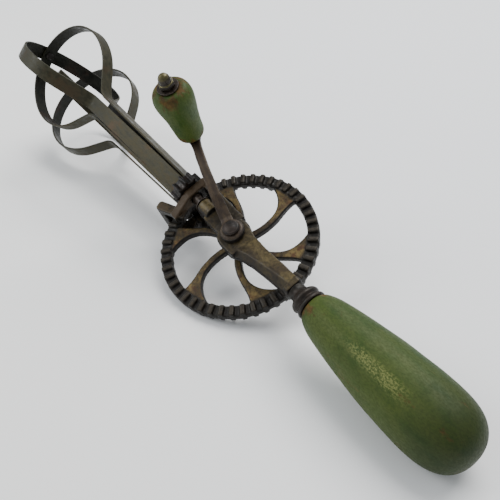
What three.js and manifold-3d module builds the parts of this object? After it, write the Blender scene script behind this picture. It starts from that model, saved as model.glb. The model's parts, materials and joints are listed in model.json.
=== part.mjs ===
// Antique hand-cranked rotary egg beater, lying at rest on a table.
// A cast frame carries a face-toothed drive wheel on one axle. The crank turns
// the wheel, and the wheel turns two pinions, one on each face, which spin two
// four-winged dashers in opposite directions. Millimetres, +Z up.
//
// The assembly is drawn in the tool's own axes (x from the axle to the dasher
// tips, z along the axle) inside the group `beater`, and that group is then
// rolled and pitched onto the points it rests on. The origin of the part is
// under the middle of its bounding box, on the table.

import * as THREE from 'three';
import { mergeVertices } from 'three/addons/utils/BufferGeometryUtils.js';
import Module from 'manifold-3d';

const wasm = await Module();
wasm.setup();

// ---------------------------------------------------------------- dimensions

const gap = 0.3; // clearance between neighbouring pieces

// Rest attitude on the table
const restRoll = -25.45;
const restPitch = -7.37;

// Drive wheel
const wheelTeeth = 46;
const wheelRadius = 38;
const toothRingInner = 32.8;
const rimHalf = 1.2;
const toothTip = 2.8;
const toothTipWidth = 1.8;
const toothRootWidth = 2.6;
const hubRadius = 7;
const hubHalf = 4.2;
const spokeRimAngles = [-20, 42, 106, 166, 220, 279]; // the casting's spokes are not quite even
const spokeSweep = 26;
const spokeHalfWidth = 1.5;
const webHalf = 1.5;

// Axle
const axleRadius = 3;
const axleBore = axleRadius + gap;
const washerThickness = 0.7;

// Frame casting
const bossRadius = 8;
const bossLow = hubHalf + washerThickness + 2 * gap;
const bossHigh = 9.3;
const lugStart = 15.2;
const lugEnd = 22.6;
const lugRadius = 4.2;
const lugWall = 1;
const crossbarStart = 28.8;
const crossbarEnd = 33.2;
const crossbarLow = 6.2;
const crossbarHigh = 14;
const railNear = -5.6;
const railFar = -9;
const slopeStart = 3;
const footEnd = 14.2;
const armAngle = 20;
const armHalfWidth = 2.4;
const armLow = 4.2;
const armHigh = 7.6;
const armRootX = 31;
const armRootY = 10.6;
const postStart = 9;
const postEnd = 13.4;
const stemEnd = -44.2;
const stemRise = 9.2;
const flankStart = 3.6;
const flankTurn = 6.1;

// Handle
const handleAxisHeight = 12.4;
const tangRadius = 2;
const tangStart = -41.9;
const tangEnd = -90;

// Dashers
const pivotX = 35.5;
const pivotHeight = 10;
const splay = 2;
const topPhase = 28.5;
const bottomPhase = 9.5;
const outerRibbonWidth = 8;
const innerRibbonWidth = 7.2;
const ribbonThickness = 1;
const legStartOffset = 4.7;
const legOffset = 5.9;
const lobeRadius = 29.1;
const lobeHalfLength = 29.6;
const lobeCentre = 120.2;
const rampAngle = 51;
const footRadius = 7.7;
const ribbonStart = 4.2;
const innerLoopInset = 1.6;

// Pinions and their shafts
const pinionTeeth = 10;
const pinionOuter = 8.2;
const pinionRoot = 6.5;
const pinionBack = 33.6 - pivotX;
const pinionFront = 39.4 - pivotX;
const pinionBossEnd = 11.5;
const shaftRadius = 2.6;
const shaftEnd = 8.5;
const shaftHeadRadius = 4;
const shaftHeadThickness = 1.6;
const bearingBore = shaftRadius + 0.4;
const lowerBearingFace = -12;

// Crank and knob
const crankAngle = -20.4;
const crankRadius = 52.2;
const crankBossLow = bossHigh + gap;
const crankBossHigh = 12.7;
const crankThickness = 2.2;
const crankSeat = 22;
const crankEndRadius = 3.4;
const spindleRadius = 2;
const baseWasherThickness = 1;
const knobBase = crankSeat + crankThickness / 2 + baseWasherThickness + 2 * gap;
const knobLength = 31;
const endWasherThickness = 0.9;

// ------------------------------------------------------------- shape helpers

const degrees = THREE.MathUtils.degToRad;

/** A closed solid of the boolean library, made from a three.js geometry. */
function solidOf(geometry) {
  const bare = geometry.clone();
  bare.deleteAttribute('normal');
  bare.deleteAttribute('uv');
  const merged = mergeVertices(bare, 1e-4);
  const index = merged.index.array;
  const position = merged.attributes.position;
  const corners = [new THREE.Vector3(), new THREE.Vector3(), new THREE.Vector3()];
  const triangles = [];
  let volume = 0;
  for (let i = 0; i < index.length; i += 3) {
    const [a, b, c] = [index[i], index[i + 1], index[i + 2]];
    if (a === b || b === c || c === a) continue;
    triangles.push([a, b, c]);
    [a, b, c].forEach((vertex, corner) => corners[corner].fromBufferAttribute(position, vertex));
    volume += corners[0].dot(corners[1].clone().cross(corners[2]));
  }
  const outward = volume > 0 ? triangles : triangles.map(([a, b, c]) => [a, c, b]);
  return new wasm.Manifold(new wasm.Mesh({
    numProp: 3,
    vertProperties: new Float32Array(position.array),
    triVerts: new Uint32Array(outward.flat()),
  }));
}

/** A three.js geometry made from a solid of the boolean library. */
function geometryOf(solid) {
  const mesh = solid.getMesh();
  const geometry = new THREE.BufferGeometry();
  geometry.setAttribute('position', new THREE.BufferAttribute(mesh.vertProperties, 3));
  geometry.setIndex(new THREE.BufferAttribute(mesh.triVerts, 1));
  geometry.computeVertexNormals();
  return geometry;
}

/** All the geometries joined into one solid. */
function joined(...geometries) {
  return geometryOf(geometries.map(solidOf).reduce((sum, next) => sum.add(next)));
}

/** The first geometry with all the others cut out of it. */
function cut(body, ...tools) {
  return geometryOf(tools.map(solidOf).reduce((rest, tool) => rest.subtract(tool), solidOf(body)));
}

/** What two geometries have in common. */
function common(first, second) {
  return geometryOf(solidOf(first).intersect(solidOf(second)));
}

/** A flat outline from a list of corners. */
function outlineOf(points) {
  return new THREE.Shape(points.map(([u, v]) => new THREE.Vector2(u, v)));
}

/** An outline in x and y, extruded from one height to another. */
function plate(outline, low, high) {
  const settings = { depth: high - low, bevelEnabled: false, curveSegments: 10 };
  return new THREE.ExtrudeGeometry(outline, settings).translate(0, 0, low);
}

/** An outline in x and z, extruded along y. */
function sidePlate(outline, near, far) {
  return plate(outline, -far, -near).rotateX(Math.PI / 2);
}

/** An outline in y and z, extruded along x. */
function crossPlate(outline, start, end) {
  const axes = new THREE.Matrix4().makeBasis(
    new THREE.Vector3(0, 1, 0),
    new THREE.Vector3(0, 0, 1),
    new THREE.Vector3(1, 0, 0),
  );
  return plate(outline, start, end).applyMatrix4(axes);
}

/** A turned solid about z. The profile is a list of [radius, height], either way round. */
function turned(profile, segments = 32) {
  const points = profile.map(([radius, height]) => new THREE.Vector2(radius, height));
  if (THREE.ShapeUtils.isClockWise(points)) points.reverse();
  return new THREE.LatheGeometry(points, segments).rotateX(Math.PI / 2);
}

/** The same, turned about x. */
function turnedAlongX(profile, segments = 32) {
  return turned(profile, segments).rotateY(Math.PI / 2);
}

/** A plain cylinder's profile. */
function cylinderProfile(radius, low, high) {
  return [[0, low], [radius, low], [radius, high], [0, high]];
}

/** A plain ring's profile, closed on itself. */
function ringProfile(inner, outer, low, high) {
  return [[inner, low], [outer, low], [outer, high], [inner, high], [inner, low]];
}

/** Moves a geometry from a dasher's own axes into the tool's axes. */
function alongDasher(geometry, side) {
  return geometry.rotateY(degrees(-side * splay)).translate(pivotX, 0, side * pivotHeight);
}

/** Points of an arc, from one angle to another, in degrees. */
function arc(centreU, centreV, radius, from, to, steps) {
  return Array.from({ length: steps + 1 }, (_, step) => {
    const angle = degrees(from + (to - from) * step / steps);
    return [centreU + radius * Math.cos(angle), centreV + radius * Math.sin(angle)];
  });
}

// ----------------------------------------------------------------- materials

function finish(color, roughness, metalness) {
  return new THREE.MeshStandardMaterial({ color, roughness, metalness });
}

const materials = {
  castIron: finish(0x4a4334, 0.55, 0.7),
  wornIron: finish(0x6f5c38, 0.5, 0.75),
  steel: finish(0x77766a, 0.4, 0.85),
  paintedWood: finish(0x5d6b4a, 0.45, 0.0),
  gearIron: finish(0x33302a, 0.5, 0.8),
};

function piece(name, geometry, material) {
  const mesh = new THREE.Mesh(geometry, material.clone());
  mesh.name = name;
  return mesh;
}

// --------------------------------------------------------------- drive wheel

/** One tooth, standing on the upper face of the rim, centred on the x axis. */
function wheelTooth() {
  const root = toothRootWidth / 2;
  const tip = toothTipWidth / 2;
  const overlap = 0.4;
  const low = rimHalf - overlap;
  const section = outlineOf([[-root, low], [root, low], [tip, toothTip], [-tip, toothTip]]);
  return crossPlate(section, toothRingInner + 0.2, wheelRadius - 0.15);
}

/** One spoke: it leaves the hub radially and bends round to meet the rim. */
function spoke() {
  const start = hubRadius - 1;
  const end = toothRingInner + 1;
  const flareStart = 16;
  const steps = 16;
  const left = [];
  const right = [];
  for (let step = 0; step <= steps; step += 1) {
    const radius = start + (end - start) * step / steps;
    const swept = Math.max(0, (radius - hubRadius) / (end - hubRadius));
    const angle = degrees(-spokeSweep + spokeSweep * swept ** 1.7);
    const flare = Math.max(0, (radius - flareStart) / (end - flareStart));
    const half = spokeHalfWidth + 7.6 * flare ** 3.6;
    const [cos, sin] = [Math.cos(angle), Math.sin(angle)];
    left.push([radius * cos - half * sin, radius * sin + half * cos]);
    right.push([radius * cos + half * sin, radius * sin - half * cos]);
  }
  return plate(outlineOf([...right, ...left.reverse()]), -webHalf, webHalf);
}

function driveWheel() {
  const rim = turned(ringProfile(toothRingInner, wheelRadius, -rimHalf, rimHalf), 2 * wheelTeeth);
  const hub = turned([
    [axleBore, -hubHalf],
    [hubRadius - 0.8, -hubHalf],
    [hubRadius, -hubHalf + 0.8],
    [hubRadius, hubHalf - 0.8],
    [hubRadius - 0.8, hubHalf],
    [axleBore, hubHalf],
    [axleBore, -hubHalf],
  ]);
  const teeth = [];
  for (let index = 0; index < wheelTeeth; index += 1) {
    const angle = 360 * (index + 0.5) / wheelTeeth;
    teeth.push(wheelTooth().rotateZ(degrees(angle)));
    teeth.push(wheelTooth().rotateX(Math.PI).rotateZ(degrees(angle)));
  }
  const spokes = spokeRimAngles.map((angle) => spoke().rotateZ(degrees(angle)));
  const axleHole = turned(cylinderProfile(axleBore, -2 * hubHalf, 2 * hubHalf));
  return cut(joined(rim, hub, ...spokes, ...teeth), axleHole);
}

function axle() {
  const footLow = -hubHalf - gap - 1.7;
  const headLow = crankBossHigh + gap;
  return turned([
    [0, footLow],
    [4.2, footLow],
    [5, footLow + 0.8],
    [5, -hubHalf - gap],
    [axleRadius, -hubHalf - gap],
    [axleRadius, headLow],
    [3.9, headLow],
    [3.7, headLow + 0.8],
    [2.5, headLow + 1.4],
    [0, headLow + 1.6],
  ]);
}

function wheelWasher() {
  const low = hubHalf + gap;
  return turned(ringProfile(axleBore, 6, low, low + washerThickness));
}

// ------------------------------------------------------------- frame casting

/** The bearing lug behind the window, round over the upper dasher's shaft. */
function bearingLug() {
  const axisHeight = pivotHeight - (pivotX - lugStart) * Math.tan(degrees(splay));
  const crown = arc(0, axisHeight, lugRadius, 0, 180, 12);
  const section = outlineOf([[-lugRadius, bossLow], [lugRadius, bossLow], ...crown]);
  return crossPlate(section, lugStart, lugEnd);
}

/** The bar behind the pinion. Past the shaft it slopes down to its arm. */
function crossbar(side) {
  const end = side > 0 ? railFar : -6;
  const outline = outlineOf([
    [end, crossbarLow],
    [end, crossbarHigh - 1],
    [end + 1, crossbarHigh],
    [slopeStart, crossbarHigh],
    [footEnd, armHigh + 0.6],
    [footEnd, armLow],
    [6, armLow],
    [4.5, crossbarLow],
  ].map(([y, z]) => [y, side * z]));
  return crossPlate(outline, crossbarStart, crossbarEnd);
}

/** The arm's outline in its own axes, from a given start to its rounded end. */
function armOutline(start) {
  return outlineOf([[start, -armHalfWidth], [postEnd - 1, -armHalfWidth], [postEnd, -armHalfWidth + 1],
    [postEnd, armHalfWidth - 1], [postEnd - 1, armHalfWidth], [start, armHalfWidth]]);
}

/** The arm from a crossbar's lower edge out past the wheel's rim. */
function crossbarArm(side) {
  const low = side > 0 ? armLow : -armHigh;
  return onArm(plate(armOutline(-4), low, low + armHigh - armLow));
}

/** The post outside the rim, which joins the upper and lower arms. */
function post() {
  return onArm(plate(armOutline(postStart), -armHigh, armHigh));
}

/** Moves a geometry from the arm's own axes into the tool's axes. */
function onArm(geometry) {
  return geometry.rotateZ(degrees(armAngle)).translate(armRootX, armRootY, 0);
}

/** The stem from the axle boss to the ferrule: a rising ridge with a sloping flank. */
function stem() {
  const side = outlineOf([
    [4, bossLow],
    [-10, bossLow],
    [-20, 6.5],
    [-32, 7.9],
    [stemEnd, handleAxisHeight - 3.2],
    [stemEnd, handleAxisHeight + 3.2],
    [-36, 14.3],
    [-24, 12.5],
    [-14, 10.7],
    [-8, bossHigh],
    [4, bossHigh],
  ]);
  const plan = outlineOf([
    [4, -7],
    [-4, -6.9],
    [-9, -5.6],
    [-16, -4.7],
    [-30, -4.3],
    [stemEnd, -3.9],
    [stemEnd, 3.9],
    [-30, 4.3],
    [-20, 5],
    [-13, 6.2],
    [-8, 7.7],
    [-3, 8],
    [4, 7],
  ]);
  const flank = crossPlate(outlineOf([[flankStart, 0], [12, -6.6], [12, 8], [flankStart, 8]]), -40, 0)
    .rotateY(degrees(stemRise))
    .rotateZ(degrees(flankTurn))
    .translate(-8, 0, 9.9);
  return cut(common(sidePlate(side, -12, 12), plate(plan, 0, 20)), flank);
}

/** The square shoulder that the ferrule stands against. */
function stemShoulder() {
  const half = 4.2;
  const low = handleAxisHeight - half;
  const high = handleAxisHeight + half;
  const section = outlineOf([[-half, low + 1], [-half + 1, low], [half - 1, low], [half, low + 1],
    [half, high - 1], [half - 1, high], [-half + 1, high], [-half, high - 1]]);
  return crossPlate(section, stemEnd, stemEnd + 2.6);
}

function frameCasting() {
  const boss = turned([[0, bossLow], [bossRadius, bossLow], [bossRadius, bossHigh - 0.7],
    [bossRadius - 0.7, bossHigh], [0, bossHigh]]);
  const upperArm = sidePlate(outlineOf([[0, bossLow], [lugStart + 1, bossLow], [lugStart + 1, 11],
    [9, bossHigh], [0, bossHigh]]), -6, 5);
  const rail = sidePlate(outlineOf([[3, bossLow], [24, bossLow], [crossbarEnd - 1, crossbarLow],
    [crossbarEnd - 1, 13.5], [20, 13.5], [9, bossHigh], [3, bossHigh]]), railFar, railNear);
  const lowerBoss = alongDasher(turnedAlongX(cylinderProfile(5, lowerBearingFace, -4.5)), -1);
  const bars = [1, -1].flatMap((side) => [crossbar(side), crossbarArm(side)]);
  const solid = joined(boss, upperArm, rail, bearingLug(), ...bars, post(), lowerBoss, stem(),
    stemShoulder());
  const upperBore = turnedAlongX(cylinderProfile(bearingBore, lugStart + lugWall - pivotX, 30));
  const lowerBore = turnedAlongX(cylinderProfile(bearingBore, -30, 30));
  const lowerPassage = turnedAlongX(cylinderProfile(5.2, -24, lowerBearingFace - 0.1));
  const axleHole = turned(cylinderProfile(axleBore + 0.1, 0, 30));
  const tangHole = turnedAlongX(cylinderProfile(tangRadius + gap, stemEnd - 5, tangStart + gap))
    .translate(0, 0, handleAxisHeight);
  return cut(solid, alongDasher(upperBore, 1), alongDasher(lowerBore, -1), alongDasher(lowerPassage, -1),
    axleHole, tangHole);
}

// -------------------------------------------------------------------- handle

/** A turned solid on the handle's axis. The profile is a list of [x, radius]. */
function onHandleAxis(profile) {
  const points = profile.map(([x, radius]) => [radius, x]);
  return turnedAlongX(points, 36).translate(0, 0, handleAxisHeight);
}

function ferrule() {
  const bore = tangRadius + gap;
  const start = stemEnd - gap;
  const end = -55;
  return onHandleAxis([[start, bore], [start, 4.3], [-46, 4], [-47.4, 4.2], [-48.6, 5.1], [-49.6, 6.3],
    [-50.6, 6.7], [-51.6, 6.6], [-52.2, 5.9], [-53.2, 6.3], [-54.2, 6.9], [end, 6.9], [end, bore],
    [start, bore]]);
}

function handleTang() {
  return onHandleAxis([[tangStart, 0], [tangStart, tangRadius], [tangEnd + 2, tangRadius],
    [tangEnd, tangRadius - 1], [tangEnd, 0]]);
}

function handle() {
  const bore = tangRadius + gap;
  const start = -55 - gap;
  return onHandleAxis([[tangEnd - gap, 0], [tangEnd - gap, bore], [start, bore], [start, 6.2], [-56.2, 7],
    [-58.5, 8.4], [-64, 10], [-75, 11.9], [-84, 13.2], [-93, 14.2], [-102, 14.9], [-110, 15.3],
    [-117.6, 15.4], [-122.6, 14.9], [-127, 13.8], [-130.4, 12.2], [-133, 10], [-134.9, 7.2],
    [-136, 3.9], [-136.3, 0]]);
}

// ------------------------------------------------------------ crank and knob

/** The crank arm, drawn along x: it rises from the axle over the pinion. */
function crankArm() {
  const centreLine = [[-7, 10.9], [7.5, 10.9], [12, 13.2], [17, 16.5], [24, 19.2], [31, 21.3],
    [38, crankSeat], [60, crankSeat]];
  const raised = (offset) => centreLine.map(([x, z]) => [x, z + offset]);
  const lower = raised(-crankThickness / 2);
  const upper = raised(crankThickness / 2);
  const side = sidePlate(outlineOf([...lower, ...upper.reverse()]), -12, 12);
  const plan = outlineOf([[0, -3], [8, -2.3], [18, -1.7], [30, -1.5], [crankRadius - 7, -2],
    [crankRadius - 3, -2.5], ...arc(crankRadius, 0, crankEndRadius, -120, 120, 16),
    [crankRadius - 3, 2.5], [crankRadius - 7, 2.3], [30, 2.8], [18, 3.1], [8, 3.3], [0, 3.4]]);
  const strap = common(side, plate(plan, 0, 30));
  const boss = turned([[0, crankBossLow], [5.6, crankBossLow], [5.6, crankBossHigh - 0.8],
    [4.8, crankBossHigh], [0, crankBossHigh]]);
  const axleHole = turned(cylinderProfile(axleBore, 0, 30));
  const spindleHole = turned(cylinderProfile(spindleRadius + gap, 0, 30)).translate(crankRadius, 0, 0);
  return cut(joined(strap, boss), axleHole, spindleHole);
}

function knobSpindle() {
  const armUnderside = crankSeat - crankThickness / 2;
  const tip = knobBase + knobLength + 4.6;
  return turned([[0, armUnderside - gap - 0.8], [2.6, armUnderside - gap - 0.8],
    [3.1, armUnderside - gap - 0.3],
    [3.1, armUnderside - gap], [spindleRadius, armUnderside - gap], [spindleRadius, tip - 0.6],
    [spindleRadius - 0.6, tip], [0, tip]], 24);
}

function knob() {
  const bore = spindleRadius + gap;
  return turned([[bore, 0], [5.1, 0], [6.2, 0.7], [6.8, 2], [7.1, 4.4], [7.3, 8.5], [7.9, 14],
    [8.6, 18], [9.2, 22],
    [9.4, 25], [9.1, 27.4], [8.3, 29.4], [7.1, 30.6], [5.8, knobLength], [bore, knobLength], [bore, 0]]
    .map(([radius, height]) => [radius, knobBase + height]));
}

function knobBaseWasher() {
  const low = crankSeat + crankThickness / 2 + gap;
  return turned(ringProfile(spindleRadius + gap, 4.6, low, low + baseWasherThickness), 28);
}

function knobEndWasher() {
  const low = knobBase + knobLength + gap;
  return turned(ringProfile(spindleRadius + gap, 5.1, low, low + endWasherThickness), 28);
}

/** A round-topped cap nut over the spindle's end. */
function knobNut() {
  const low = knobBase + knobLength + endWasherThickness + 2 * gap;
  const base = plate(outlineOf(arc(0, 0, 3.9, 0, 300, 5)), low, low + 2.2);
  const dome = turned([[0, low + 1.8], [3, low + 1.8], [2.9, low + 3.6], [2.6, low + 4.9], [1.9, low + 6],
    [1, low + 6.6], [0, low + 6.8]], 24);
  const bore = turned(cylinderProfile(spindleRadius + gap, low - 1, knobBase + knobLength + 4.9), 24);
  return cut(joined(base, dome), bore);
}

// ------------------------------------------------------------------- dashers

/** The upper half of a loop's edge, parallel to its middle line. */
function loopEdge(offset, inset) {
  const centre = lobeCentre - inset;
  const rampSlope = Math.tan(degrees(rampAngle));
  const lobeEnd = Math.PI - Math.atan2(lobeRadius, lobeHalfLength * rampSlope);
  const rampTop = centre + lobeHalfLength * Math.cos(lobeEnd);
  const rampFoot = rampTop - (lobeRadius * Math.sin(lobeEnd) - legOffset) / rampSlope;
  const footCentre = rampFoot - footRadius * Math.tan(degrees(rampAngle / 2));
  const foot = arc(footCentre, legOffset + footRadius, footRadius - offset, -90, -90 + rampAngle, 5);
  const lobe = [];
  const steps = 23;
  for (let step = 0; step <= steps; step += 1) {
    const angle = lobeEnd * (1 - step / steps);
    const [cos, sin] = [Math.cos(angle), Math.sin(angle)];
    const slant = Math.hypot(cos / lobeHalfLength, sin / lobeRadius);
    lobe.push([
      centre + lobeHalfLength * cos + offset * cos / (lobeHalfLength * slant),
      lobeRadius * sin + offset * sin / (lobeRadius * slant),
    ]);
  }
  return [[ribbonStart, legStartOffset + offset], ...foot, ...lobe];
}

/** One loop of flat ribbon: two legs, and a lobe that is round at its tip. */
function loop(inset, width) {
  const upper = loopEdge(ribbonThickness / 2, inset);
  const lower = loopEdge(-ribbonThickness / 2, inset);
  const mirrored = (points) => points.slice(0, -1).reverse().map(([u, v]) => [u, -v]);
  const band = outlineOf([...upper, ...mirrored(upper), ...[...lower, ...mirrored(lower)].reverse()]);
  const ribbon = sidePlate(band, -width / 2, width / 2);
  const rivetHole = turnedAlongX(cylinderProfile(1.5, lobeCentre + 10, lobeCentre + 60), 16);
  return cut(ribbon, rivetHole);
}

function tipRivet() {
  const outside = lobeCentre + lobeHalfLength + ribbonThickness / 2 + gap;
  const inside = lobeCentre - innerLoopInset + lobeHalfLength - ribbonThickness / 2 - gap - 0.1;
  return turnedAlongX([[0, inside - 0.9], [1.6, inside - 0.9], [2.2, inside - 0.4], [2.2, inside],
    [1.2, inside], [1.2, outside], [2.3, outside], [1.9, outside + 0.7], [0, outside + 1.1]], 16);
}

/** A pinion with the square boss that the four ribbon legs lie against. */
function pinion(side, phase) {
  const pitch = 360 / pinionTeeth;
  const towardWheel = side > 0 ? -90 : 90;
  const outline = [];
  for (let tooth = 0; tooth < pinionTeeth; tooth += 1) {
    const middle = towardWheel + tooth * pitch;
    const corners = [[pinionRoot, -8], [pinionOuter, -2.6], [pinionOuter, 2.6], [pinionRoot, 8]];
    corners.forEach(([radius, turn]) => {
      const angle = degrees(middle + turn);
      outline.push([radius * Math.cos(angle), radius * Math.sin(angle)]);
    });
  }
  const toothed = crossPlate(outlineOf(outline), pinionBack, pinionFront);
  const half = legStartOffset - ribbonThickness / 2 - gap;
  const square = outlineOf([[half, -half + 1.5], [half, half - 1.5], [half - 1.5, half],
    [-half + 1.5, half],
    [-half, half - 1.5], [-half, -half + 1.5], [-half + 1.5, -half], [half - 1.5, -half]]);
  const boss = crossPlate(square, pinionFront - 0.5, pinionBossEnd).rotateX(degrees(-phase));
  const bore = turnedAlongX(cylinderProfile(shaftRadius + gap, pinionBack - 2, shaftEnd + gap), 24);
  return cut(joined(toothed, boss), bore);
}

/** The upper dasher's shaft, which ends inside the closed bearing lug. */
function plainShaft() {
  const start = lugStart + lugWall + gap - pivotX;
  return turnedAlongX([[0, start], [shaftRadius - 0.5, start], [shaftRadius, start + 0.5],
    [shaftRadius, shaftEnd - 0.5], [shaftRadius - 0.5, shaftEnd], [0, shaftEnd]], 24);
}

/** The lower dasher's shaft, with a head behind its bearing and washer. */
function headedShaft() {
  const headEnd = lowerBearingFace - washerThickness - 2 * gap;
  const headStart = headEnd - shaftHeadThickness;
  return turnedAlongX([[0, headStart], [shaftHeadRadius - 0.7, headStart],
    [shaftHeadRadius, headStart + 0.6],
    [shaftHeadRadius, headEnd], [shaftRadius, headEnd], [shaftRadius, shaftEnd - 0.5],
    [shaftRadius - 0.5, shaftEnd], [0, shaftEnd]], 24);
}

/** A dasher in its own axes: x along its shaft, its origin over the wheel's teeth. */
function dasher(name, side, phase, shaft, washerStart) {
  const group = new THREE.Group();
  const washer = turnedAlongX(ringProfile(bearingBore, 4.1, washerStart,
    washerStart + washerThickness), 24);
  const outerLoop = piece(`${name}_outer_loop`, loop(0, outerRibbonWidth), materials.steel);
  const innerLoop = piece(`${name}_inner_loop`, loop(innerLoopInset, innerRibbonWidth), materials.steel);
  outerLoop.rotation.x = degrees(-phase);
  innerLoop.rotation.x = degrees(90 - phase);
  group.add(
    piece(`${name}_pinion`, pinion(side, phase), materials.gearIron),
    piece(`${name}_shaft`, shaft, materials.steel),
    piece(`${name}_shaft_washer`, washer, materials.steel),
    outerLoop,
    innerLoop,
    piece(`${name}_tip_rivet`, tipRivet(), materials.steel),
  );
  group.position.set(pivotX, 0, side * pivotHeight);
  group.rotation.y = degrees(-side * splay);
  return group;
}

// ------------------------------------------------------------------ assembly

function crankAssembly() {
  const crank = new THREE.Group();
  const knobGroup = new THREE.Group();
  knobGroup.position.x = crankRadius;
  knobGroup.add(
    piece('knob_spindle', knobSpindle(), materials.steel),
    piece('knob', knob(), materials.paintedWood),
    piece('knob_base_washer', knobBaseWasher(), materials.steel),
    piece('knob_end_washer', knobEndWasher(), materials.steel),
    piece('knob_nut', knobNut(), materials.steel),
  );
  crank.add(piece('crank_arm', crankArm(), materials.wornIron), knobGroup);
  crank.rotation.z = degrees(crankAngle);
  return crank;
}

const beater = new THREE.Group();
beater.add(
  piece('frame_casting', frameCasting(), materials.castIron),
  piece('ferrule', ferrule(), materials.castIron),
  piece('handle_tang', handleTang(), materials.steel),
  piece('handle', handle(), materials.paintedWood),
  piece('drive_wheel', driveWheel(), materials.wornIron),
  piece('axle', axle(), materials.wornIron),
  piece('wheel_washer', wheelWasher(), materials.steel),
  crankAssembly(),
  dasher('top', 1, topPhase, plainShaft(), lugEnd + 2 * gap - pivotX),
  dasher('bottom', -1, bottomPhase, headedShaft(), lowerBearingFace - gap - washerThickness),
);
beater.rotation.set(degrees(restRoll), degrees(restPitch), 0, 'YXZ');

// Stand the assembly on the table, with the origin under the middle of its box.
const group = new THREE.Group();
group.add(beater);
group.updateMatrixWorld(true);
const box = new THREE.Box3().setFromObject(group, true);
const middle = box.getCenter(new THREE.Vector3());
beater.position.set(-middle.x, -middle.y, -box.min.z);

export default group;
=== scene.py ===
import json
import math

import bmesh
import bpy
from mathutils import Matrix, Vector, noise


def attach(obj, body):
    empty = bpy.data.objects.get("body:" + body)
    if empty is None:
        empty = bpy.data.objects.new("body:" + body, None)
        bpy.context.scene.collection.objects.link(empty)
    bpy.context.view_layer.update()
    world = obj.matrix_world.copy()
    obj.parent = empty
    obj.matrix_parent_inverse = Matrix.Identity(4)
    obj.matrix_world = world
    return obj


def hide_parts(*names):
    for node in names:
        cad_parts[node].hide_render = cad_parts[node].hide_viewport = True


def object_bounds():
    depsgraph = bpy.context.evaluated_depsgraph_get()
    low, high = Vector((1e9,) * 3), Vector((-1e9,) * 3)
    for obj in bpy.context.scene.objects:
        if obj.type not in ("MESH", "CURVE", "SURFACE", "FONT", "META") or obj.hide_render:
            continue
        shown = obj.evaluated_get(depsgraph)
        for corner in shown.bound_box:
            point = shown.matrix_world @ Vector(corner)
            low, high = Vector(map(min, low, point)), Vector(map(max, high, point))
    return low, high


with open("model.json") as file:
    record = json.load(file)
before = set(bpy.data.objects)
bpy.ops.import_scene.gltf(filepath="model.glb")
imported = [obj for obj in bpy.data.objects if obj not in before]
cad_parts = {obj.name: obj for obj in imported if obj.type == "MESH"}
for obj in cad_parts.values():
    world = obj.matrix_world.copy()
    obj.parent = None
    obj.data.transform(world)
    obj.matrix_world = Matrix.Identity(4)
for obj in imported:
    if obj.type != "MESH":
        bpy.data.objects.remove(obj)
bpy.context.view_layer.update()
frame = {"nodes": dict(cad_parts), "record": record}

# ---------------------------------------------------------------- dimensions
# Metres, in the row frame, unless a name ends in _MM. The tool's own axes run
# along the dashers (x), across the wheel (y) and along the axle (z), in mm.

MM = 0.001
AXLE_HEAD_Z_MM = 13.0  # the underside of the axle's domed head
HANDLE_AXIS_Z_MM = 12.4
KNOB_CENTRE_MM = 52.2  # from the axle to the knob's own axis
CRANK_ANGLE = math.radians(-20.4)
KNOB_BASE_Z_MM = 24.7
KNOB_LENGTH_MM = 31.0
HANDLE_REACH_MM = 137.0  # from the axle to just past the handle's end
ROD_BORE_MM = 2.3  # radius, round the handle's tang and the knob's spindle
LEG_BEND_MM = 84.7  # along a dasher, from its pivot: about where the legs bend outward
WHEEL_RIM_INNER_MM = 32.8
WHEEL_TOOTH_CREST_MM = (2.0, 2.7)  # where a tooth's worn top starts and is full
EDGE_ANGLE = math.radians(30.0)  # edges sharper than this are rounded
FLAT_ANGLE = math.radians(1.0)
CAST_NOISE_PER_M = 180
LATHE_NOISE_PER_MM = 0.09

CAMERA_PLACE = (-0.2081, 0.1403, 0.1924)
CAMERA_RIGHT = (-0.61913, -0.78519, 0.01262)
CAMERA_FORWARD = (0.61803, -0.49716, -0.60902)
CAMERA_LENS = 44.5
SENSOR_WIDTH = 36
FLOOR_REACH = 4.0

# Name, place, square side, watts and colour
LIGHTS = (
    ("key", (0.15, -0.62, 1.15), 1.05, 21, (1.0, 0.99, 0.97)),
    ("fill", (0.75, 0.85, 0.85), 0.6, 8.5, (0.95, 0.98, 1.0)),
)

joints = {joint["name"]: joint for joint in frame["record"]["behaviour"]["joints"]}


def tool_matrix():
    """Takes tool axes in mm to the row frame in metres."""
    centre = Vector(joints["wheel_spin"]["pos_m"])
    up = Vector(joints["wheel_spin"]["axis"]).normalized()
    pivots = [Vector(joints[name]["pos_m"]) for name in ("top_dasher_spin", "bottom_dasher_spin")]
    along = ((pivots[0] + pivots[1]) / 2 - centre).normalized()
    across = up.cross(along).normalized()
    turn = Matrix((along, across, up)).transposed().to_4x4()
    return Matrix.Translation(centre) @ turn @ Matrix.Scale(MM, 4)


def dasher_matrix(joint):
    """Takes a dasher's own axes in mm, x along its shaft, to the row frame."""
    origin = Vector(joints[joint]["pos_m"])
    along = Vector(joints[joint]["axis"]).normalized()
    up = Vector(joints["wheel_spin"]["axis"]).normalized()
    across = up.cross(along).normalized()
    turn = Matrix((along, across, along.cross(across))).transposed().to_4x4()
    return Matrix.Translation(origin) @ turn @ Matrix.Scale(MM, 4)


TOOL = tool_matrix()
DASHER = {"top": dasher_matrix("top_dasher_spin"), "bottom": dasher_matrix("bottom_dasher_spin")}
HANDLE = TOOL @ Matrix.Translation((0, 0, HANDLE_AXIS_Z_MM)) @ Matrix.Rotation(-math.pi / 2, 4, "Y")
KNOB = TOOL @ Matrix.Rotation(CRANK_ANGLE, 4, "Z") @ Matrix.Translation((KNOB_CENTRE_MM, 0, 0))


# ------------------------------------------------------------- node materials

HIGHLIGHT_SIDE = (0.965, 0.26, 0.0)  # the handle's side turned toward the camera, where a highlight is painted, in its own axes


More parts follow.
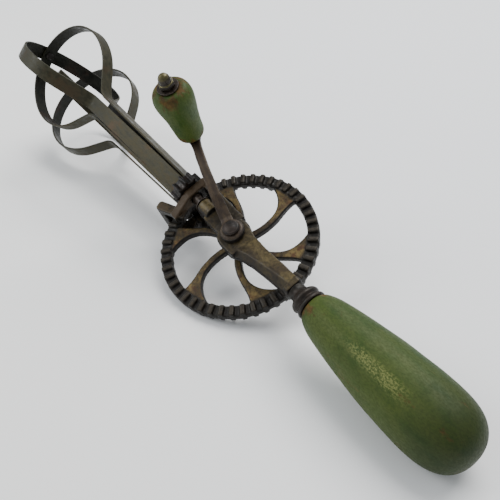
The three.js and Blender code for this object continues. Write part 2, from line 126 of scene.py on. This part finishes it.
def linear(code):
    """An sRGB hex colour as a linear RGBA tuple."""
    channels = [int(code[i:i + 2], 16) / 255 for i in (0, 2, 4)]
    return (*[c / 12.92 if c < 0.04045 else ((c + 0.055) / 1.055) ** 2.4 for c in channels], 1)


class Shader:
    """A node material, built socket by socket."""

    def __init__(self, name, axes=TOOL):
        self.material = bpy.data.materials.new(name)
        self.material.use_nodes = True
        self.tree = self.material.node_tree
        self.tree.nodes.clear()
        self.surface = self.node("ShaderNodeBsdfPrincipled")
        output = self.node("ShaderNodeOutputMaterial")
        self.tree.links.new(self.surface.outputs[0], output.inputs[0])
        coordinates = self.node("ShaderNodeTexCoord")
        place, turn, scale = axes.decompose()
        self.place = self.mapped(coordinates.outputs["Object"], place, turn, scale)
        self.normal = self.mapped(coordinates.outputs["Normal"], (0, 0, 0), turn, (1, 1, 1))
        self.x, self.y, self.z = self.split(self.place)
        self.nz = self.split(self.normal)[2]

    def node(self, kind, **settings):
        made = self.tree.nodes.new(kind)
        for key, value in settings.items():
            setattr(made, key, value)
        return made

    def feed(self, socket, value):
        if isinstance(value, bpy.types.NodeSocket):
            self.tree.links.new(value, socket)
        else:
            socket.default_value = value

    def mapped(self, vector, place, turn, scale):
        """The vector seen from axes with that place, turn and scale."""
        made = self.node("ShaderNodeMapping", vector_type="TEXTURE")
        self.feed(made.inputs["Vector"], vector)
        made.inputs["Location"].default_value = place
        made.inputs["Rotation"].default_value = turn.to_euler()
        made.inputs["Scale"].default_value = scale
        return made.outputs[0]

    def split(self, vector):
        made = self.node("ShaderNodeSeparateXYZ")
        self.feed(made.inputs[0], vector)
        return made.outputs

    def join(self, x, y, z):
        made = self.node("ShaderNodeCombineXYZ")
        for socket, value in zip(made.inputs, (x, y, z)):
            self.feed(socket, value)
        return made.outputs[0]

    def math(self, operation, *values, clamp=False):
        made = self.node("ShaderNodeMath", operation=operation, use_clamp=clamp)
        for socket, value in zip(made.inputs, values):
            self.feed(socket, value)
        return made.outputs[0]

    def length(self, x, y, z=0.0):
        made = self.node("ShaderNodeVectorMath", operation="LENGTH")
        self.feed(made.inputs[0], self.join(x, y, z))
        return made.outputs["Value"]

    def dot(self, a, b):
        made = self.node("ShaderNodeVectorMath", operation="DOT_PRODUCT")
        self.feed(made.inputs[0], a)
        self.feed(made.inputs[1], b)
        return made.outputs["Value"]

    def step(self, value, low, high, to_low=0.0, to_high=1.0):
        """A smooth step from to_low at low to to_high at high."""
        made = self.node("ShaderNodeMapRange", interpolation_type="SMOOTHSTEP")
        for socket, number in zip(made.inputs, (value, low, high, to_low, to_high)):
            self.feed(socket, number)
        return made.outputs[0]

    def spots(self, scale, detail=5.0, roughness=0.6, stretch=(1, 1, 1), seed=0.0):
        """Fractal noise in the piece's own axes. The scale is in 1/mm."""
        spread = self.node("ShaderNodeMapping")
        self.feed(spread.inputs["Vector"], self.place)
        spread.inputs["Scale"].default_value = stretch
        spread.inputs["Location"].default_value = (seed, seed * 1.7, seed * 2.3)
        made = self.node("ShaderNodeTexNoise")
        self.feed(made.inputs["Vector"], spread.outputs[0])
        made.inputs["Scale"].default_value = scale
        made.inputs["Detail"].default_value = detail
        made.inputs["Roughness"].default_value = roughness
        return made.outputs["Fac"]

    def mix(self, share, first, second):
        made = self.node("ShaderNodeMix", data_type="RGBA")
        self.feed(made.inputs[0], share)
        self.feed(made.inputs[6], first)
        self.feed(made.inputs[7], second)
        return made.outputs[2]

    def bump(self, height, distance, strength=1.0, under=None):
        made = self.node("ShaderNodeBump")
        made.inputs["Distance"].default_value = distance
        made.inputs["Strength"].default_value = strength
        self.feed(made.inputs["Height"], height)
        if under is not None:
            self.feed(made.inputs["Normal"], under)
        return made.outputs[0]

    def finish(self, color, roughness, normal, metallic=0.0, specular=0.5):
        self.feed(self.surface.inputs["Base Color"], color)
        self.feed(self.surface.inputs["Roughness"], roughness)
        self.feed(self.surface.inputs["Normal"], normal)
        self.surface.inputs["Metallic"].default_value = metallic
        self.surface.inputs["Specular IOR Level"].default_value = specular
        return self.material


def iron_grain(shader, fine=1.6, coarse=0.35, depth=0.00012):
    """The bump of a worn casting: a coarse unevenness under a fine grain."""
    lower = shader.bump(shader.spots(coarse, 3.0, 0.5, seed=3.0), 2.5 * depth, 0.5)
    return shader.bump(shader.spots(fine, 6.0, 0.65, seed=9.0), depth, 0.55, lower)


def wheel_material():
    """Near-black iron, worn to a dull bronze gold on the flats of the spokes and webs."""
    s = Shader("wheel_iron")
    facing = s.math("ABSOLUTE", s.nz)
    flat = s.step(facing, 0.93, 0.999)
    radius = s.length(s.x, s.y)
    in_web = s.step(radius, WHEEL_RIM_INNER_MM - 1.6, WHEEL_RIM_INNER_MM + 0.3, 1.0, 0.0)
    patches = s.step(s.spots(0.16, 5.0, 0.6), 0.36, 0.62)
    grain = s.step(s.spots(0.8, 6.0, 0.7, seed=5.0), 0.3, 0.7)
    near_rim = s.step(radius, 14.0, 30.0, 0.6, 1.0)
    gold_share = s.math("MULTIPLY", s.math("MULTIPLY", flat, in_web), near_rim)
    mottled = s.math("MULTIPLY_ADD", s.math("ADD", patches, grain), 0.34, 0.16)
    gold_share = s.math("MULTIPLY", gold_share, mottled, clamp=True)
    dark = s.mix(grain, linear("0b0906"), linear("1d1811"))
    gold = s.mix(patches, linear("5c4a26"), linear("85703f"))
    gold = s.mix(s.step(s.spots(0.3, 4.0, 0.6, seed=17.0), 0.5, 0.66), gold, linear("5a3a1c"))
    color = s.mix(gold_share, dark, gold)
    height = s.math("ABSOLUTE", s.z)
    tooth = s.math("MULTIPLY", s.step(height, *WHEEL_TOOTH_CREST_MM), s.step(facing, 0.4, 0.85))
    tooth = s.math("MULTIPLY", tooth, s.step(grain, 0.0, 1.0, 0.25, 0.7))
    color = s.mix(tooth, color, linear("3b3327"))
    roughness = s.step(grain, 0.0, 1.0, 0.38, 0.62)
    return s.finish(color, roughness, iron_grain(s), metallic=0.3, specular=0.4)


def frame_material():
    """Dark iron with a bronze ridge along the stem and worn upper edges."""
    s = Shader("frame_iron")
    grain = s.step(s.spots(0.7, 6.0, 0.7, seed=2.0), 0.32, 0.7)
    patches = s.step(s.spots(0.13, 4.0, 0.6, seed=7.0), 0.38, 0.62)
    up = s.step(s.nz, 0.55, 0.97)
    stem = s.math("MULTIPLY", s.step(s.x, -7.0, -12.0), s.step(s.x, -41.6, -40.4))
    ridge = s.math("MULTIPLY", stem, s.step(s.y, 1.2, -0.4))
    lug = s.math("MULTIPLY", s.step(s.x, 12.0, 15.5), s.step(s.x, 25.0, 23.0))
    lug = s.math("MULTIPLY", lug, s.step(s.y, -5.0, -4.0))
    arm = s.math("MULTIPLY", s.step(s.y, 8.0, 14.0), s.step(s.x, 28.0, 32.0))
    hub = s.math("MULTIPLY", s.step(s.x, 2.0, -6.0), 0.55)
    worn = s.math("MAXIMUM", s.math("MULTIPLY", ridge, 0.9), s.math("MAXIMUM", lug, arm))
    worn = s.math("MAXIMUM", worn, s.math("MAXIMUM", hub, 0.3))
    share = s.math("MULTIPLY", s.math("MULTIPLY", worn, up), s.math("MULTIPLY_ADD", grain, 0.6, 0.4))
    dark = s.mix(grain, linear("0b0907"), linear("1f1912"))
    bronze = s.mix(patches, linear("44371f"), linear("665835"))
    slope = s.math("MULTIPLY", s.step(s.y, 1.5, 4.0), s.step(s.z, 7.0, 8.4))
    bar = s.math("MAXIMUM", slope, s.step(s.z, 12.4, 13.6))
    bar = s.math("MULTIPLY", bar, s.step(s.x, 27.0, 28.5))
    bronze = s.mix(bar, bronze, linear("4b3a25"))
    share = s.math("MAXIMUM", share, s.math("MULTIPLY", bar, 0.6))
    color = s.mix(share, dark, bronze)
    roughness = s.step(grain, 0.0, 1.0, 0.36, 0.6)
    return s.finish(color, roughness, iron_grain(s), metallic=0.3, specular=0.4)


def dark_iron_material(name, low, high, roughness=0.45):
    """A dark blackened iron or steel with brown blotches."""
    s = Shader(name)
    grain = s.step(s.spots(0.9, 6.0, 0.7, seed=4.0), 0.3, 0.7)
    blotch = s.step(s.spots(0.22, 4.0, 0.6, seed=11.0), 0.4, 0.64)
    color = s.mix(grain, linear(low), linear(high))
    color = s.mix(s.math("MULTIPLY", blotch, 0.4), color, linear("33241a"))
    rough = s.step(grain, 0.0, 1.0, roughness - 0.1, roughness + 0.14)
    return s.finish(color, rough, iron_grain(s, 2.2, 0.5, 0.00009), metallic=0.4)


def crank_material():
    """Brown-grey strap with long purplish streaks and a pitted skin."""
    s = Shader("crank_steel", TOOL @ Matrix.Rotation(CRANK_ANGLE, 4, "Z"))
    streak = s.step(s.spots(0.5, 6.0, 0.65, (0.18, 1.0, 1.0), 3.0), 0.35, 0.66)
    grain = s.step(s.spots(1.4, 6.0, 0.7, seed=6.0), 0.3, 0.7)
    color = s.mix(streak, linear("2e231a"), linear("483b2a"))
    color = s.mix(s.math("MULTIPLY", grain, 0.4), color, linear("2a1e17"))
    color = s.mix(s.step(s.nz, 0.75, 0.2), color, linear("120d0a"))
    rough = s.step(grain, 0.0, 1.0, 0.4, 0.64)
    return s.finish(color, rough, iron_grain(s, 1.8, 0.4, 0.00012), metallic=0.3)


def ribbon_material(side):
    """Dull tinned ribbon: grey-olive outside with tan stains, and painted shade, almost black with tan
    stains, on the inside.
    """
    s = Shader(f"{side}_ribbon_steel", DASHER[side])
    past_bend = s.math("MAXIMUM", s.math("SUBTRACT", s.x, LEG_BEND_MM), 0.0)
    outward = s.dot(s.join(past_bend, s.y, s.z), s.normal)
    # faces turned away from the dasher's axis keep the ribbon's colour; faces turned in toward it get
    # painted shade
    outside = s.step(outward, -0.5, 0.5)
    grain = s.step(s.spots(0.5, 6.0, 0.68, (0.35, 1, 1), 2.0), 0.32, 0.68)
    stain = s.step(s.spots(0.075, 4.0, 0.6, seed=14.0), 0.54, 0.68)
    speck = s.step(s.spots(1.5, 5.0, 0.7, seed=8.0), 0.56, 0.7)
    outer = s.mix(grain, linear("2a2815"), linear("453f28"))
    outer = s.mix(s.math("MULTIPLY", stain, 0.8), outer, linear("4a3820"))
    outer = s.mix(s.math("MULTIPLY", speck, 0.4), outer, linear("1c190f"))
    outer = s.mix(s.step(s.x, 62.0, 78.0, 0.0, 0.45), outer, linear("23251b"))
    # painted shade: the inward faces get this almost black colour, as if in shadow, with tan stains over it
    inner_shade_and_stain = s.mix(grain, linear("0c0e08"), linear("1d1d13"))
    inner_shade_and_stain = s.mix(s.math("MULTIPLY", stain, 0.6), inner_shade_and_stain, linear("2b1b10"))
    color = s.mix(outside, inner_shade_and_stain, outer)
    rough = s.step(grain, 0.0, 1.0, 0.34, 0.58)
    return s.finish(color, rough, iron_grain(s, 1.3, 0.25, 0.00008), metallic=0.25, specular=0.35)


def steel_material():
    """Oxidised brown-purple hardware, brighter where it has been rubbed."""
    s = Shader("hardware_steel")
    grain = s.step(s.spots(0.9, 5.0, 0.65, seed=1.0), 0.3, 0.7)
    color = s.mix(grain, linear("1d1614"), linear("3f352c"))
    rough = s.step(grain, 0.0, 1.0, 0.28, 0.5)
    return s.finish(color, rough, iron_grain(s, 2.4, 0.6, 0.00006), metallic=0.5)


def nut_material():
    """The knob's cap nut: greenish gold on top, brown-black down its sides."""
    s = Shader("nut_steel")
    grain = s.step(s.spots(0.9, 5.0, 0.65, seed=12.0), 0.3, 0.7)
    color = s.mix(s.step(s.nz, 0.1, 0.8), linear("1d1610"), linear("5e5836"))
    color = s.mix(s.math("MULTIPLY", grain, 0.4), color, linear("241d15"))
    rough = s.step(grain, 0.0, 1.0, 0.24, 0.42)
    return s.finish(color, rough, iron_grain(s, 2.4, 0.6, 0.00006), metallic=0.5)


def paint_material(name, axes, length, chip_low, chip_high, dark_end):
    """Moss green paint on turned wood, worn through to brown near both ends.

    chip_low is how far along the wear is full, where it ends, and its strength.
    chip_high is the same from the far end. dark_end is where the dark shade
    starts, where it is full, and its strength.
    """
    s = Shader(name, axes)
    broad = s.step(s.spots(0.06, 4.0, 0.55, (1, 1, 0.6), 5.0), 0.34, 0.66)
    streak = s.step(s.spots(0.3, 6.0, 0.66, (1, 1, 0.4), 9.0), 0.34, 0.66)
    fine = s.step(s.spots(1.3, 6.0, 0.72, (1, 1, 0.6), 2.0), 0.3, 0.7)
    color = s.mix(broad, linear("2a430f"), linear("46541c"))
    color = s.mix(s.math("MULTIPLY", streak, 0.55), color, linear("4c5626"))
    color = s.mix(s.math("MULTIPLY", fine, 0.5), color, linear("253212"))
    color = s.mix(s.step(s.z, dark_end[0], dark_end[1], 0.0, dark_end[2]), color, linear("11180a"))
    # painted highlight: a lighter yellow-green streak, broken into flecks, on the handle's side turned
    # toward the camera, from 74 to 114 mm along it
    highlight_band = s.math("MULTIPLY", s.step(s.z, 74.0, 90.0), s.step(s.z, 114.0, 100.0))
    highlight_crest = s.step(s.dot(s.normal, HIGHLIGHT_SIDE), 0.962, 0.997)
    highlight_flecks = s.step(s.spots(1.5, 6.0, 0.75, (1, 1, 0.7), 33.0), 0.44, 0.6)
    painted_highlight = s.math("MULTIPLY", s.math("MULTIPLY", highlight_band, highlight_crest), highlight_flecks)
    color = s.mix(s.math("MULTIPLY", painted_highlight, 0.6), color, linear("8c8f52"))
    near_low = s.step(s.z, chip_low[0], chip_low[1], 1.0, 0.0)
    near_high = s.step(s.z, length - chip_high[1], length - chip_high[0])
    ends = s.math("MAXIMUM", s.math("MULTIPLY", near_low, chip_low[2]),
                  s.math("MULTIPLY", near_high, chip_high[2]))
    wear_noise = s.spots(0.17, 5.0, 0.62, (1, 1, 0.55), 21.0)
    wear = s.step(s.math("ADD", wear_noise, s.math("MULTIPLY", ends, 0.26)), 0.6, 0.76)
    bare = s.mix(streak, linear("3a2411"), linear("5e3f1a"))
    color = s.mix(s.math("MULTIPLY", wear, 0.8), color, bare)
    rough = s.step(fine, 0.0, 1.0, 0.48, 0.64)
    rough = s.math("ADD", rough, s.math("MULTIPLY", wear, 0.12))
    lower = s.bump(s.math("SUBTRACT", s.spots(0.12, 3.0, 0.5, seed=4.0), wear), 0.00016, 0.6)
    normal = s.bump(s.spots(1.1, 5.0, 0.6, (1, 1, 0.5), 7.0), 0.00008, 0.7, lower)
    return s.finish(color, rough, normal, specular=0.22)


# --------------------------------------------------------------- mesh pieces

def place(name, mesh, material, body, slot, nodes):
    """Puts a finished mesh into the scene in place of its CAD nodes."""
    mesh.materials.clear()
    mesh.materials.append(material)
    mesh.shade_smooth()
    obj = bpy.data.objects.new(name, mesh)
    bpy.context.scene.collection.objects.link(obj)
    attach(obj, body)
    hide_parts(*nodes)


def applied(obj):
    """The object's mesh with its modifiers applied. The object itself goes."""
    depsgraph = bpy.context.evaluated_depsgraph_get()
    mesh = bpy.data.meshes.new_from_object(obj.evaluated_get(depsgraph))
    bpy.data.objects.remove(obj)
    return mesh


def carrier(name, mesh):
    """A passing object that carries modifiers for a mesh."""
    obj = bpy.data.objects.new(name, mesh)
    bpy.context.scene.collection.objects.link(obj)
    return obj


def cast_mesh(node, voxel_mm, rounds, roughness_mm=0.0, grow_mm=0.0):
    """The node's solid with every edge and corner softened, as a casting has them."""
    obj = carrier(f"{node}_casting", frame["nodes"][node].data.copy())
    remesh = obj.modifiers.new("skin", "REMESH")
    remesh.mode = "VOXEL"
    remesh.voxel_size = voxel_mm * MM
    smooth = obj.modifiers.new("softened", "SMOOTH")
    smooth.factor = 0.5
    smooth.iterations = rounds
    mesh = applied(obj)
    for vertex, normal in zip(mesh.vertices, [n.vector.copy() for n in mesh.vertex_normals]):
        swell = grow_mm + roughness_mm * noise.fractal(vertex.co * CAST_NOISE_PER_M, 1.0, 2.0, 3)
        vertex.co += normal * swell * MM
    return mesh


def edged_mesh(node, width_mm):
    """The node's solid with flat faces kept and every sharp edge rounded."""
    shape = bmesh.new()
    shape.from_mesh(frame["nodes"][node].data)
    bmesh.ops.remove_doubles(shape, verts=shape.verts, dist=1e-6)
    bmesh.ops.dissolve_limit(shape, angle_limit=FLAT_ANGLE, verts=shape.verts, edges=shape.edges)
    sharp = [edge for edge in shape.edges
             if edge.is_manifold and edge.calc_face_angle() > EDGE_ANGLE]
    bmesh.ops.bevel(shape, geom=sharp, offset=width_mm * MM, segments=2, profile=0.6,
                    affect="EDGES", clamp_overlap=True)
    mesh = bpy.data.meshes.new(f"{node}_edged")
    shape.to_mesh(mesh)
    shape.free()
    mesh.shade_smooth()
    obj = carrier(f"{node}_edged", mesh)
    obj.modifiers.new("flats", "WEIGHTED_NORMAL")
    return applied(obj)


def curve_through(points, steps):
    """A smooth line through the points, with that many steps from each to the next."""
    padded = [points[0], *points, points[-1]]
    line = []
    for a, b, c, d in zip(padded, padded[1:], padded[2:], padded[3:]):
        for step in range(steps):
            t = step / steps
            line.append(tuple(
                0.5 * (2 * q + (r - p) * t + (2 * p - 5 * q + 4 * r - s) * t ** 2
                       + (3 * q - p - 3 * r + s) * t ** 3)
                for p, q, r, s in zip(a, b, c, d)))
    return [*line, points[-1]]


def lathe_mesh(name, profile, axes, segments=96, unevenness=0.0):
    """A closed turned solid. The profile is a list of (radius, height), in mm."""
    shape = bmesh.new()
    rings = []
    for radius, height in profile:
        ring = []
        for index in range(segments):
            angle = 2 * math.pi * index / segments
            outward = Vector((math.cos(angle), math.sin(angle), 0))
            spot = outward * radius + Vector((0, 0, height))
            swell = unevenness * noise.noise(spot * LATHE_NOISE_PER_MM)
            spot += outward * swell * min(1.0, radius / 4)
            ring.append(shape.verts.new(axes @ spot))
        rings.append(ring)
    for low, high in zip(rings, [*rings[1:], rings[0]]):
        for index in range(segments):
            after = (index + 1) % segments
            shape.faces.new((low[index], low[after], high[after], high[index]))
    bmesh.ops.remove_doubles(shape, verts=shape.verts, dist=1e-7)
    bmesh.ops.recalc_face_normals(shape, faces=shape.faces)
    mesh = bpy.data.meshes.new(name)
    shape.to_mesh(mesh)
    shape.free()
    return mesh


# -------------------------------------------------------------- the castings

wheel_iron = wheel_material()
frame_iron = frame_material()
pinion_iron = dark_iron_material("pinion_iron", "070605", "14110e", 0.42)
axle_iron = dark_iron_material("axle_iron", "0e0b09", "1c1612", 0.46)
collar_iron = dark_iron_material("collar_iron", "0c0a07", "211c13", 0.46)
hardware = steel_material()
nut_steel = nut_material()

place("wheel_casting", cast_mesh("drive_wheel", 0.32, 9, 0.1, 0.22), wheel_iron, "wheel", "cast_wheel",
      ["drive_wheel"])
place("frame", cast_mesh("frame_casting", 0.32, 8, 0.12, 0.1), frame_iron, "frame", "cast_frame",
      ["frame_casting"])
place("crank_strap", cast_mesh("crank_arm", 0.3, 6, 0.08, 0.08), crank_material(), "wheel", "crank_steel",
      ["crank_arm"])
for side in ("top", "bottom"):
    body = f"{side}_dasher"
    ribbon = ribbon_material(side)
    place(f"{side}_gear", cast_mesh(f"{side}_pinion", 0.22, 3, 0.05, 0.12), pinion_iron, body, "gear_iron",
          [f"{side}_pinion"])
    for loop in ("outer_loop", "inner_loop"):
        place(f"{side}_{loop}_ribbon", edged_mesh(f"{side}_{loop}", 0.24), ribbon, body, "ribbon_steel",
              [f"{side}_{loop}"])
    for part, metal in (("shaft", hardware), ("shaft_washer", hardware), ("tip_rivet", axle_iron)):
        place(f"{side}_{part}_turned", edged_mesh(f"{side}_{part}", 0.15), metal, body,
              "hardware_steel", [f"{side}_{part}"])
place("wheel_washer_turned", edged_mesh("wheel_washer", 0.12), hardware, "frame", "hardware_steel",
      ["wheel_washer"])
place("tang", edged_mesh("handle_tang", 0.2), hardware, "frame", "hardware_steel", ["handle_tang"])
place("spindle", edged_mesh("knob_spindle", 0.15), hardware, "wheel", "hardware_steel",
      ["knob_spindle"])
place("base_washer", edged_mesh("knob_base_washer", 0.2), hardware, "wheel", "hardware_steel",
      ["knob_base_washer"])
place("end_washer", edged_mesh("knob_end_washer", 0.25), hardware, "wheel", "hardware_steel",
      ["knob_end_washer"])
place("cap_nut", cast_mesh("knob_nut", 0.16, 5), nut_steel, "wheel", "hardware_steel", ["knob_nut"])

# ---------------------------------------------------------- the turned pieces

axle_profile = [
    (0, -6.2), (4.2, -6.2), (4.8, -5.9), (5, -5.4), (5, -4.6), (4.9, -4.5), (3, -4.5), (3, 0),
    (3, AXLE_HEAD_Z_MM), (3.8, AXLE_HEAD_Z_MM), (3.95, AXLE_HEAD_Z_MM + 0.3),
    (3.85, AXLE_HEAD_Z_MM + 1.0), (3.5, AXLE_HEAD_Z_MM + 1.45), (3.0, AXLE_HEAD_Z_MM + 1.5),
    (2.2, AXLE_HEAD_Z_MM + 1.1), (0, AXLE_HEAD_Z_MM + 0.9),
]
place("axle_pin", lathe_mesh("axle_pin", axle_profile, TOOL, 64), axle_iron, "wheel", "cast_wheel",
      ["axle"])

ferrule_outline = curve_through([
    (4.35, 44.6), (4.0, 45.8), (4.1, 47.2), (4.9, 48.5), (6.1, 49.4), (6.65, 50.3), (6.7, 51.2),
    (6.1, 52.0), (5.85, 52.5), (6.2, 53.0), (6.8, 53.7), (6.95, 54.4), (6.75, 55.0),
], 4)
ferrule_profile = [(ROD_BORE_MM, 44.5), *ferrule_outline, (ROD_BORE_MM, 55.0)]
place("collar", lathe_mesh("collar", ferrule_profile, HANDLE, 72, 0.12), collar_iron, "frame",
      "cast_frame", ["ferrule"])

handle_outline = curve_through([
    (5.6, 55.3), (6.7, 55.8), (8.1, 57.8), (10.0, 63.5), (11.95, 74.8), (13.25, 84), (14.25, 93),
    (14.95, 102), (15.35, 110), (15.42, 117), (14.95, 122.6), (13.85, 127), (12.2, 130.4), (10.0, 133),
    (7.2, 134.9), (3.9, 136.0), (1.2, 136.35), (0, 136.4),
], 5)
handle_profile = [(ROD_BORE_MM, 55.3), *handle_outline, (0, 90.3), (ROD_BORE_MM, 90.3)]
handle_paint = paint_material("handle_paint", HANDLE, HANDLE_REACH_MM, (56.0, 64.0, 0.62), (0.0, 12.0, 0.1),
                              (100.0, 132.0, 0.55))
place("grip", lathe_mesh("grip", handle_profile, HANDLE, 128, 0.12), handle_paint, "frame",
      "painted_wood", ["handle"])

knob_outline = curve_through([
    (5.0, 0), (6.1, 0.6), (6.8, 2), (7.1, 4.4), (7.35, 8.5), (7.9, 14), (8.6, 18), (9.2, 22),
    (9.42, 25), (9.1, 27.4), (8.3, 29.4), (7.1, 30.6), (5.6, KNOB_LENGTH_MM),
], 4)
knob_profile = [(ROD_BORE_MM, 0), *knob_outline, (ROD_BORE_MM, KNOB_LENGTH_MM)]
knob_axes = KNOB @ Matrix.Translation((0, 0, KNOB_BASE_Z_MM))
knob_paint = paint_material("knob_paint", knob_axes, KNOB_LENGTH_MM, (0.5, 9.0, 0.8), (0.0, 9.0, 0.75),
                            (40.0, 60.0, 0.0))
place("hand_knob", lathe_mesh("hand_knob", knob_profile, knob_axes, 96, 0.25), knob_paint, "knob",
      "painted_wood", ["knob"])


# ------------------------------------------------------------ camera and room

def make_camera():
    camera = bpy.data.objects.new("camera", bpy.data.cameras.new("camera"))
    bpy.context.scene.collection.objects.link(camera)
    forward = Vector(CAMERA_FORWARD).normalized()
    right = Vector(CAMERA_RIGHT)
    right = (right - forward * right.dot(forward)).normalized()
    up = right.cross(forward)
    turn = Matrix((right, up, -forward)).transposed().to_4x4()
    camera.matrix_world = Matrix.Translation(CAMERA_PLACE) @ turn
    camera.data.lens = CAMERA_LENS
    camera.data.sensor_width = SENSOR_WIDTH
    camera.data.clip_start = 0.01
    camera.data.clip_end = 20
    bpy.context.scene.camera = camera


def make_floor():
    """A plain pale table top, just under the lowest point of the tool."""
    reach = FLOOR_REACH
    level = min(0.0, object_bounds()[0][2])
    mesh = bpy.data.meshes.new("floor")
    corners = [(-reach, -reach, level), (reach, -reach, level), (reach, reach, level),
               (-reach, reach, level)]
    mesh.from_pydata(corners, [], [(0, 1, 2, 3)])
    floor = bpy.data.objects.new("floor", mesh)
    bpy.context.scene.collection.objects.link(floor)
    s = Shader("floor_paper", Matrix.Identity(4))
    tint = s.step(s.spots(1.2, 2.0, 0.4), 0.3, 0.7)
    color = s.mix(tint, linear("fbfbf9"), linear("f8fafd"))
    mesh.materials.append(s.finish(color, 0.75, s.bump(s.spots(900.0, 2.0), 0.00002, 0.3), specular=0.2))


def make_light(name, place_m, width, energy, color):
    """A square lamp that is aimed at the origin."""
    data = bpy.data.lights.new(name, "AREA")
    data.shape = "SQUARE"
    data.size = width
    data.energy = energy
    data.color = color
    light = bpy.data.objects.new(name, data)
    bpy.context.scene.collection.objects.link(light)
    light.location = place_m
    aim = -Vector(place_m)
    light.rotation_mode = "QUATERNION"
    light.rotation_quaternion = aim.to_track_quat("-Z", "Y")


def make_world():
    world = bpy.data.worlds.new("studio")
    world.use_nodes = True
    background = world.node_tree.nodes["Background"]
    background.inputs["Color"].default_value = (0.93, 0.96, 1.0, 1)
    background.inputs["Strength"].default_value = 0.55
    bpy.context.scene.world = world


make_camera()
make_floor()
for light in LIGHTS:
    make_light(*light)
make_world()
